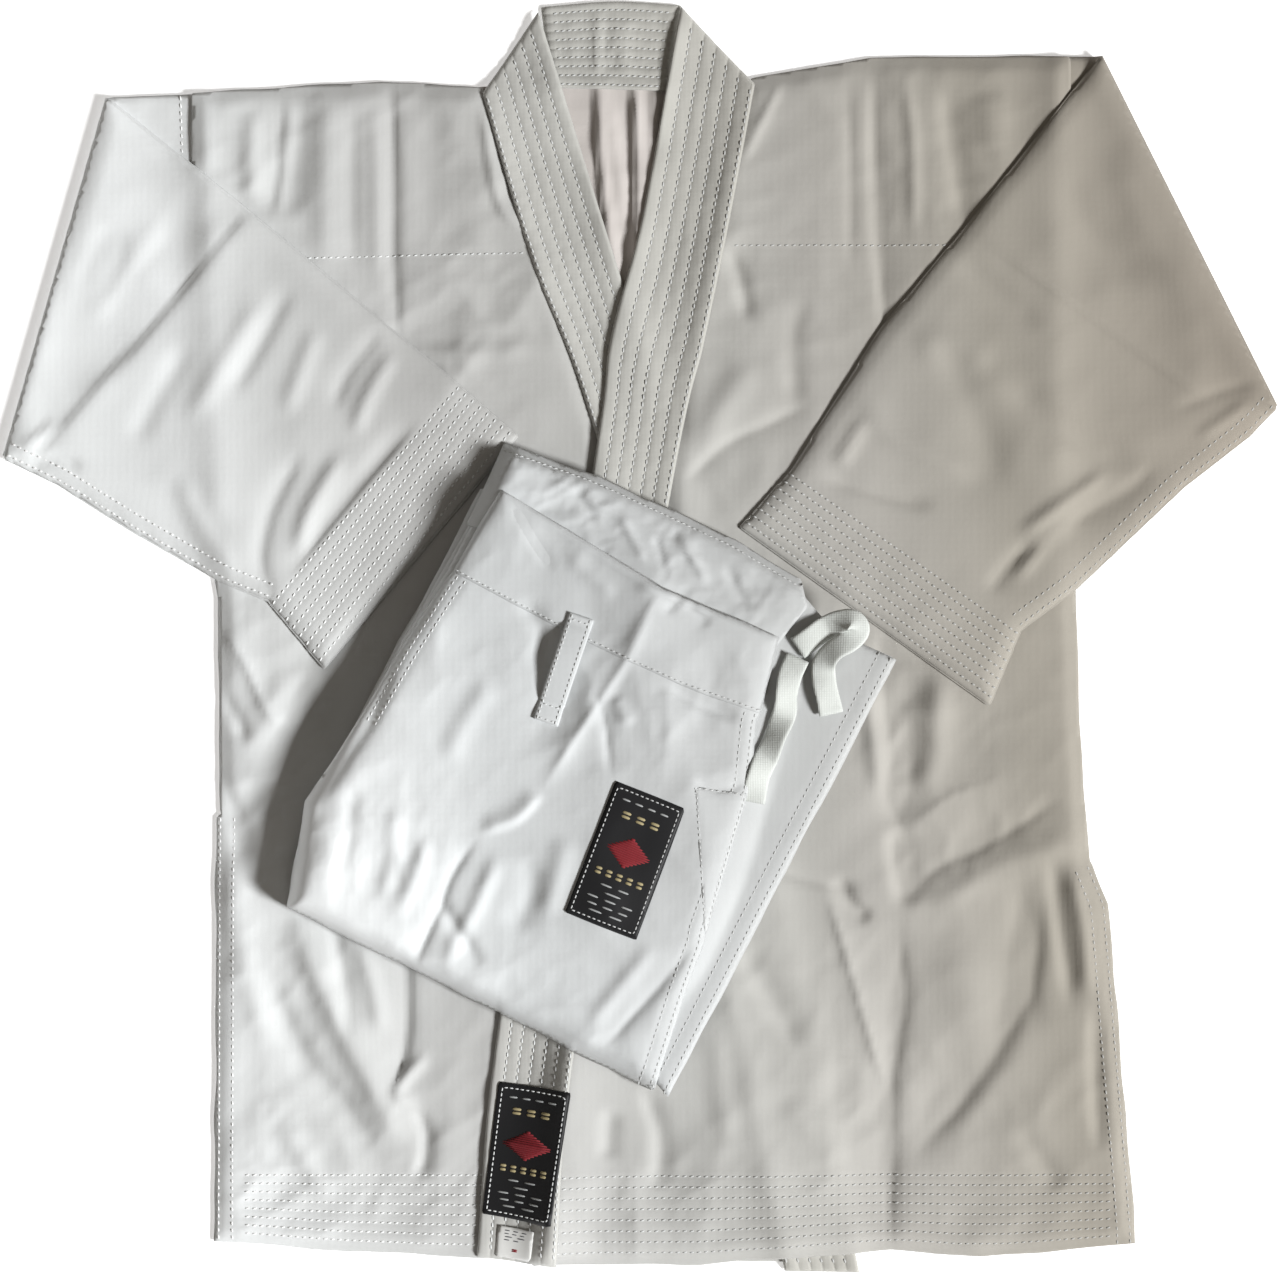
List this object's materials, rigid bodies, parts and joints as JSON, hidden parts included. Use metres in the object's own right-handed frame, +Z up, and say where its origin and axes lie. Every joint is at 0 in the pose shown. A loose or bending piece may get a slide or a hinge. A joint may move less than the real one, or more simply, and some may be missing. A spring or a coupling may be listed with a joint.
{
  "type": "martial arts uniform",
  "caption": "Karate uniform laid flat for storage: a wrap-over cotton jacket with a stitched neckband and folded sleeves, under its folded drawstring trousers.",
  "frame": {"origin": "centre of the bounding box in plan, on the surface that the uniform lies on", "axes": "+Z up out of the jacket's front, +Y towards the collar, +X towards the wearer's left side"},
  "size_m": [0.686, 0.686, 0.04],
  "materials": {
    "canvas": "plain-woven cotton canvas, washed white, matt with a faint vertical streak",
    "canvas_trousers": "plain-woven cotton canvas, matt",
    "neckband": "quilted cotton canvas over a stiff core",
    "tape": "flat woven cotton tape",
    "woven_label": "black satin weave with white edge stitching",
    "care_label": "thin white printed label tape"
  },
  "bodies": {
    "jacket": {"back_panel_right": "canvas", "back_panel_left": "canvas", "back_hem_facing": "canvas", "right_shoulder_reinforcement": "canvas", "left_shoulder_reinforcement": "canvas", "right_front_panel": "canvas", "right_front_overlap": "canvas", "right_front_hem_facing": "canvas", "right_vent_facing": "canvas", "right_vent_gusset": "canvas", "left_front_panel": "canvas", "left_front_overlap": "canvas", "left_front_hem_facing": "canvas", "left_vent_facing": "canvas", "left_vent_gusset": "canvas", "neckband_right_cover": "neckband", "neckband_right_core": "neckband", "neckband_back_cover": "neckband", "neckband_back_core": "neckband", "neckband_left_cover": "neckband", "neckband_left_core": "neckband", "jacket_label": "woven_label", "right_upper_sleeve_back": "canvas", "right_upper_sleeve_front": "canvas", "left_upper_sleeve_back": "canvas", "left_upper_sleeve_front": "canvas"},
    "care_label": {"care_label": "care_label"},
    "right_sleeve": {"right_lower_sleeve_front": "canvas", "right_lower_sleeve_back": "canvas", "right_cuff_front": "canvas", "right_cuff_back": "canvas"},
    "left_sleeve": {"left_lower_sleeve_front": "canvas", "left_lower_sleeve_back": "canvas", "left_cuff_front": "canvas", "left_cuff_back": "canvas"},
    "trousers": {"right_thigh_front": "canvas_trousers", "right_thigh_back": "canvas_trousers", "left_thigh_front": "canvas_trousers", "left_thigh_back": "canvas_trousers", "left_knee_back": "canvas_trousers", "left_knee_front": "canvas_trousers", "right_knee_back": "canvas_trousers", "right_knee_front": "canvas_trousers", "right_shin_front": "canvas_trousers", "right_shin_back": "canvas_trousers", "left_shin_front": "canvas_trousers", "left_shin_back": "canvas_trousers", "right_leg_hem_facing": "canvas_trousers", "left_leg_hem_facing": "canvas_trousers", "waist_casing_front": "canvas_trousers", "waist_casing_back": "canvas_trousers", "waist_tape": "tape", "crotch_gusset": "canvas_trousers", "belt_loop": "canvas_trousers", "trousers_label": "woven_label", "upper_waist_tie": "tape", "lower_waist_tie": "tape"}
  },
  "joints": [
    {"name": "right_sleeve_fold", "type": "hinge", "parent": "jacket", "child": "right_sleeve", "pos_m": [-0.287, 0.291, 0.00555], "axis": [-0.2806, -0.9598, 0], "range_deg": [0, 180]},
    {"name": "left_sleeve_fold", "type": "hinge", "parent": "jacket", "child": "left_sleeve", "pos_m": [0.248, 0.313, 0.0082], "axis": [-0.451, 0.8925, 0], "range_deg": [0, 180]},
    {"name": "care_label_flip", "type": "hinge", "parent": "jacket", "child": "care_label", "pos_m": [-0.076, -0.316, 0.0144], "axis": [-0.9878, 0.156, 0], "range_deg": [0, 120]},
    {"name": "trousers_lift", "type": "slide", "parent": "jacket", "child": "trousers", "axis": [0, 0, 1], "range_m": [0, 0.3]}
  ]
}
